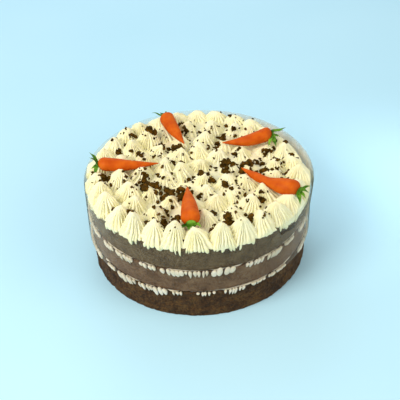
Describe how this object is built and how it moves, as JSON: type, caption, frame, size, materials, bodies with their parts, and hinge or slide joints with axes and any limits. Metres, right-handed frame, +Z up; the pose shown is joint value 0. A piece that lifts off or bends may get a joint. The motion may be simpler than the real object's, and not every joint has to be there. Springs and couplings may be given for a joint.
{
  "type": "carrot cake",
  "caption": "Round sponge cake in layers with cream fillings, piped cream stars, sugar carrots and cake crumbs on top, in a clear film collar.",
  "frame": {"origin": "middle of the flat base of the bottom sponge layer", "axes": "+Z up, the front of the cake faces -Y, +X to its right"},
  "size_m": [0.2122, 0.212, 0.1052],
  "materials": {
    "sponge_lower": "moist dark brown sponge with an open crumb",
    "sponge_upper": "brown sponge with a fine crumb, slightly damp where it lies on the film",
    "filling_cream": "soft off-white cream, pressed flat by the film",
    "piped_cream": "piped pale yellow cream with a soft sheen",
    "orange_sugar_paste": "rolled sugar paste with a satin skin",
    "green_sugar_paste": "rolled green sugar paste",
    "cake_crumb": "dry dark brown cake crumb",
    "clear_film": "clear glossy film with a faint haze"
  },
  "bodies": {
    "root": {"sponge_bottom": "sponge_lower", "filling_lower": "filling_cream", "sponge_middle": "sponge_upper", "filling_upper": "filling_cream", "sponge_top": "sponge_upper", "cream_stars": "piped_cream", "carrot_1": "orange_sugar_paste", "carrot_2": "orange_sugar_paste", "carrot_3": "orange_sugar_paste", "carrot_4": "orange_sugar_paste", "carrot_5": "orange_sugar_paste", "carrot_top_1": "green_sugar_paste", "carrot_top_2": "green_sugar_paste", "carrot_top_3": "green_sugar_paste", "carrot_top_4": "green_sugar_paste", "carrot_top_5": "green_sugar_paste", "film_collar": "clear_film"}
  },
  "joints": []
}
